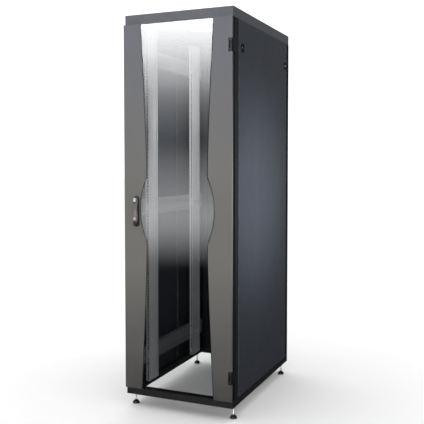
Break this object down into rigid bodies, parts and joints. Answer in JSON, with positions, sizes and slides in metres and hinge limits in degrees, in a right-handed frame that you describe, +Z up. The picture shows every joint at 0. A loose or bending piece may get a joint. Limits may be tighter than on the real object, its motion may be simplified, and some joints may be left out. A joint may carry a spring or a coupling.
{
  "type": "network server rack cabinet",
  "caption": "Free-standing 19-inch rack cabinet with a glass front door between wavy steel strips, lift-off side panels, open base and levelling feet.",
  "frame": {"origin": "on the floor, under the middle of the cabinet's outer box", "axes": "+Z up, +X to the right of a viewer at the front door, -Y out of the front door"},
  "size_m": [0.602, 0.965, 2.038],
  "materials": {
    "frame_paint": "fine satin powder coat, dark grey",
    "door_paint": "fine satin powder coat, mid grey",
    "base_paint": "black powder coat",
    "door_glass": "toughened clear glass",
    "galvanised": "galvanised sheet with faint spangle",
    "bright_zinc": "bright zinc plate",
    "hardware_black": "black die-cast and moulded hardware",
    "seal_rubber": "closed-cell foam rubber",
    "brush_bristle": "dense nylon bristle"
  },
  "bodies": {
    "frame": {"base_frame": "base_paint", "top_frame": "frame_paint", "roof_cap": "door_paint", "roof_fan_guards": "hardware_black", "roof_brush": "brush_bristle", "post_front_left": "frame_paint", "post_front_right": "frame_paint", "post_rear_left": "frame_paint", "post_rear_right": "frame_paint", "brace_left_low": "frame_paint", "brace_left_mid": "frame_paint", "brace_left_top": "frame_paint", "brace_right_low": "frame_paint", "brace_right_mid": "frame_paint", "brace_right_top": "frame_paint", "rail_front_left": "galvanised", "rail_front_right": "galvanised", "rail_rear_left": "galvanised", "rail_rear_right": "galvanised", "rail_brackets": "galvanised", "rail_screws": "bright_zinc", "foot_locknuts": "bright_zinc", "frame_hinge_leaves": "hardware_black", "hinge_pins": "bright_zinc", "door_keepers": "galvanised", "earth_studs": "bright_zinc"},
    "foot_front_left": {"foot_pad_front_left": "hardware_black", "foot_stud_front_left": "bright_zinc"},
    "foot_front_right": {"foot_pad_front_right": "hardware_black", "foot_stud_front_right": "bright_zinc"},
    "foot_rear_left": {"foot_pad_rear_left": "hardware_black", "foot_stud_rear_left": "bright_zinc"},
    "foot_rear_right": {"foot_pad_rear_right": "hardware_black", "foot_stud_rear_right": "bright_zinc"},
    "panel_left": {"side_panel_left": "frame_paint", "latch_cups_left": "hardware_black"},
    "panel_right": {"side_panel_right": "frame_paint", "latch_cups_right": "hardware_black"},
    "turn_left_front": {"latch_left_front": "hardware_black"},
    "turn_left_rear": {"latch_left_rear": "hardware_black"},
    "turn_right_front": {"latch_right_front": "hardware_black"},
    "turn_right_rear": {"latch_right_rear": "hardware_black"},
    "front_door": {"front_glass": "door_glass", "front_strip_left": "door_paint", "front_strip_right": "door_paint", "front_stiles": "frame_paint", "front_seals": "seal_rubber", "front_hinge_leaves": "hardware_black", "front_handle_plate": "hardware_black"},
    "front_hub": {"front_handle_hub": "bright_zinc", "front_lever_pin": "bright_zinc"},
    "front_lever": {"front_handle_lever": "hardware_black"},
    "front_lock": {"front_lock_core": "bright_zinc"},
    "rear_door": {"rear_door_panel": "frame_paint", "rear_hinge_leaves": "hardware_black", "rear_handle_plate": "hardware_black"},
    "rear_hub": {"rear_handle_hub": "bright_zinc", "rear_lever_pin": "bright_zinc"},
    "rear_lever": {"rear_handle_lever": "hardware_black"},
    "rear_lock": {"rear_lock_core": "bright_zinc"}
  },
  "joints": [
    {"name": "front_door_swing", "type": "hinge", "parent": "frame", "child": "front_door", "pos_m": [0.293, -0.451, 1.0465], "axis": [0, 0, 1], "range_deg": [0, 130]},
    {"name": "front_handle_turn", "type": "hinge", "parent": "front_door", "child": "front_hub", "pos_m": [-0.228, -0.4735, 1.093], "axis": [0, -1, 0], "range_deg": [0, 90]},
    {"name": "front_lever_lift", "type": "hinge", "parent": "front_hub", "child": "front_lever", "pos_m": [-0.228, -0.4735, 1.093], "axis": [-1, 0, 0], "range_deg": [0, 35]},
    {"name": "front_lock_turn", "type": "hinge", "parent": "front_lever", "child": "front_lock", "pos_m": [-0.228, -0.4825, 0.997], "axis": [0, -1, 0], "range_deg": [0, 90]},
    {"name": "rear_door_swing", "type": "hinge", "parent": "frame", "child": "rear_door", "pos_m": [-0.293, 0.451, 1.0465], "axis": [0, 0, 1], "range_deg": [0, 130]},
    {"name": "rear_handle_turn", "type": "hinge", "parent": "rear_door", "child": "rear_hub", "pos_m": [0.228, 0.4735, 1.093], "axis": [0, 1, 0], "range_deg": [0, 90]},
    {"name": "rear_lever_lift", "type": "hinge", "parent": "rear_hub", "child": "rear_lever", "pos_m": [0.228, 0.4735, 1.093], "axis": [1, 0, 0], "range_deg": [0, 35]},
    {"name": "rear_lock_turn", "type": "hinge", "parent": "rear_lever", "child": "rear_lock", "pos_m": [0.228, 0.4825, 0.997], "axis": [0, 1, 0], "range_deg": [0, 90]},
    {"name": "left_panel_tilt", "type": "hinge", "parent": "frame", "child": "panel_left", "pos_m": [-0.3, 0, 0.106], "axis": [0, -1, 0], "range_deg": [0, 15]},
    {"name": "right_panel_tilt", "type": "hinge", "parent": "frame", "child": "panel_right", "pos_m": [0.3, 0, 0.106], "axis": [0, 1, 0], "range_deg": [0, 15]},
    {"name": "left_front_latch_turn", "type": "hinge", "parent": "panel_left", "child": "turn_left_front", "pos_m": [-0.3, -0.3165, 1.854], "axis": [1, 0, 0], "range_deg": [0, 90]},
    {"name": "left_rear_latch_turn", "type": "hinge", "parent": "panel_left", "child": "turn_left_rear", "pos_m": [-0.3, 0.3885, 1.854], "axis": [-1, 0, 0], "range_deg": [0, 90]},
    {"name": "right_front_latch_turn", "type": "hinge", "parent": "panel_right", "child": "turn_right_front", "pos_m": [0.3, -0.3165, 1.854], "axis": [1, 0, 0], "range_deg": [0, 90]},
    {"name": "right_rear_latch_turn", "type": "hinge", "parent": "panel_right", "child": "turn_right_rear", "pos_m": [0.3, 0.3885, 1.854], "axis": [-1, 0, 0], "range_deg": [0, 90]},
    {"name": "foot_front_left_height", "type": "slide", "parent": "frame", "child": "foot_front_left", "axis": [0, 0, -1], "range_m": [0, 0.02]},
    {"name": "foot_rear_left_height", "type": "slide", "parent": "frame", "child": "foot_rear_left", "axis": [0, 0, -1], "range_m": [0, 0.02]},
    {"name": "foot_front_right_height", "type": "slide", "parent": "frame", "child": "foot_front_right", "axis": [0, 0, -1], "range_m": [0, 0.02]},
    {"name": "foot_rear_right_height", "type": "slide", "parent": "frame", "child": "foot_rear_right", "axis": [0, 0, -1], "range_m": [0, 0.02]}
  ]
}
